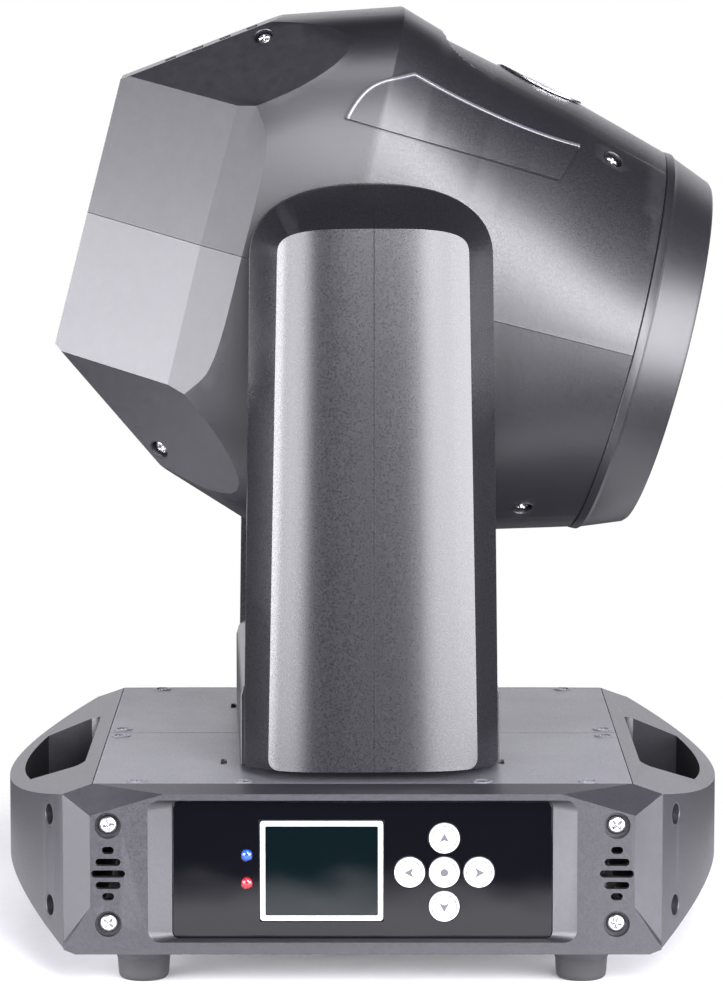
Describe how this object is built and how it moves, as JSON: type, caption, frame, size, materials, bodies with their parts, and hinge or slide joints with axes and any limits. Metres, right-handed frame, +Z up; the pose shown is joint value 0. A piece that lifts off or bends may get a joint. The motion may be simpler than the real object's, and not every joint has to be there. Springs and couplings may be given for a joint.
{
  "type": "moving head light",
  "caption": "Stage light with a lamp head that tilts in a two-armed yoke, a base the yoke pans on, a display with keys, and carrying recesses.",
  "frame": {"origin": "under the middle of the base, at the height of the feet's soles", "axes": "+Z up, -Y out of the display, +X to the right when facing the display"},
  "size_m": [0.374, 0.328, 0.4886],
  "materials": {
    "casing": "charcoal moulded plastic with a fine satin grain",
    "deck": "dark grey textured paint",
    "trim": "darker satin plastic",
    "rubber": "dull black",
    "steel": "zinc-plated",
    "bearing_steel": "ground",
    "aluminium": "machined",
    "gloss_panel": "glossy black",
    "screen_frame": "white frame round a dark screen",
    "white_plastic": "satin white",
    "blue_lens": "clear blue",
    "red_lens": "clear red",
    "circuit_board": "green solder mask",
    "black_plastic": "black",
    "lens_glass": "clear glass",
    "badge_metal": "satin silver"
  },
  "bodies": {
    "base": {"base_plate": "steel", "chassis_bridge": "steel", "front_bezel": "casing", "rear_bezel": "casing", "left_handle_casing": "casing", "right_handle_casing": "casing", "front_deck_plate": "deck", "rear_deck_plate": "deck", "front_left_foot": "rubber", "front_right_foot": "rubber", "rear_left_foot": "rubber", "rear_right_foot": "rubber", "display_panel": "gloss_panel", "lcd_screen": "screen_frame", "signal_led": "blue_lens", "fault_led": "red_lens", "control_board": "circuit_board", "power_supply": "steel", "rear_panel": "trim", "power_inlet": "black_plastic", "dmx_input": "black_plastic", "dmx_output": "black_plastic", "pan_spindle": "aluminium", "pan_bearing": "bearing_steel"},
    "yoke": {"yoke_frame": "steel", "front_arm_outer_cover": "casing", "rear_arm_outer_cover": "casing", "front_arm_inner_cover": "casing", "rear_arm_inner_cover": "casing", "yoke_base_cover": "casing", "front_tilt_bearing": "bearing_steel", "rear_tilt_bearing": "bearing_steel", "pan_motor": "black_plastic", "tilt_motor": "black_plastic", "pan_belt": "rubber", "tilt_belt": "rubber"},
    "head": {"head_upper_shell": "casing", "head_lower_shell": "casing", "rear_vent_panel": "trim", "front_ring": "casing", "front_lens": "lens_glass", "head_frame": "steel", "front_trunnion": "aluminium", "rear_trunnion": "aluminium", "lamp_module": "aluminium", "heat_sink": "aluminium", "front_blade_trim": "trim", "rear_blade_trim": "trim", "badge": "badge_metal"},
    "pan_drive_pulley": {"pan_drive_pulley": "aluminium"},
    "tilt_drive_pulley": {"tilt_drive_pulley": "aluminium"},
    "color_wheel": {"color_wheel": "aluminium"},
    "gobo_wheel": {"gobo_wheel": "aluminium"},
    "focus_lens": {"focus_lens": "lens_glass"},
    "fan_rotor": {"fan_rotor": "black_plastic"},
    "up_button": {"up_button": "white_plastic"},
    "down_button": {"down_button": "white_plastic"},
    "left_button": {"left_button": "white_plastic"},
    "right_button": {"right_button": "white_plastic"},
    "enter_button": {"enter_button": "white_plastic"}
  },
  "joints": [
    {"name": "pan", "type": "hinge", "parent": "base", "child": "yoke", "pos_m": [0, 0, 0.125], "axis": [0, 0, 1], "range_deg": [-270, 270]},
    {"name": "tilt", "type": "hinge", "parent": "yoke", "child": "head", "pos_m": [0, 0, 0.3476], "axis": [-0.0384, 0.9993, 0], "range_deg": [-239, 31]},
    {"name": "pan_drive_spin", "type": "hinge", "parent": "yoke", "child": "pan_drive_pulley", "pos_m": [-0.00288, 0.07494, 0.113], "axis": [0, 0, 1], "range_deg": [-1202, 1202]},
    {"name": "tilt_drive_spin", "type": "hinge", "parent": "yoke", "child": "tilt_drive_pulley", "pos_m": [0.00449, -0.11691, 0.215], "axis": [-0.0384, 0.9993, 0], "range_deg": [-958, 126]},
    {"name": "color_wheel_spin", "type": "hinge", "parent": "head", "child": "color_wheel", "pos_m": [-0.01684, -0.00065, 0.31062], "axis": [0.9683, 0.0372, -0.247], "continuous": true},
    {"name": "gobo_wheel_spin", "type": "hinge", "parent": "head", "child": "gobo_wheel", "pos_m": [0.01646, 0.00063, 0.38468], "axis": [0.9683, 0.0372, -0.247], "continuous": true},
    {"name": "focus_slide", "type": "slide", "parent": "head", "child": "focus_lens", "axis": [0.9683, 0.0372, -0.247], "range_m": [-0.018, 0.02]},
    {"name": "fan_spin", "type": "hinge", "parent": "head", "child": "fan_rotor", "pos_m": [-0.12588, -0.00484, 0.37971], "axis": [0.9683, 0.0372, -0.247], "continuous": true},
    {"name": "up_press", "type": "slide", "parent": "base", "child": "up_button", "axis": [0, 1, 0], "range_m": [0, 0.0008], "stiffness_N_per_m": 300},
    {"name": "down_press", "type": "slide", "parent": "base", "child": "down_button", "axis": [0, 1, 0], "range_m": [0, 0.0008], "stiffness_N_per_m": 300},
    {"name": "left_press", "type": "slide", "parent": "base", "child": "left_button", "axis": [0, 1, 0], "range_m": [0, 0.0008], "stiffness_N_per_m": 300},
    {"name": "right_press", "type": "slide", "parent": "base", "child": "right_button", "axis": [0, 1, 0], "range_m": [0, 0.0008], "stiffness_N_per_m": 300},
    {"name": "enter_press", "type": "slide", "parent": "base", "child": "enter_button", "axis": [0, 1, 0], "range_m": [0, 0.0008], "stiffness_N_per_m": 300}
  ],
  "couplings": [
    {"joint": "pan_drive_spin", "follows": "pan", "ratio": -4.4444},
    {"joint": "tilt_drive_spin", "follows": "tilt", "ratio": 4}
  ]
}
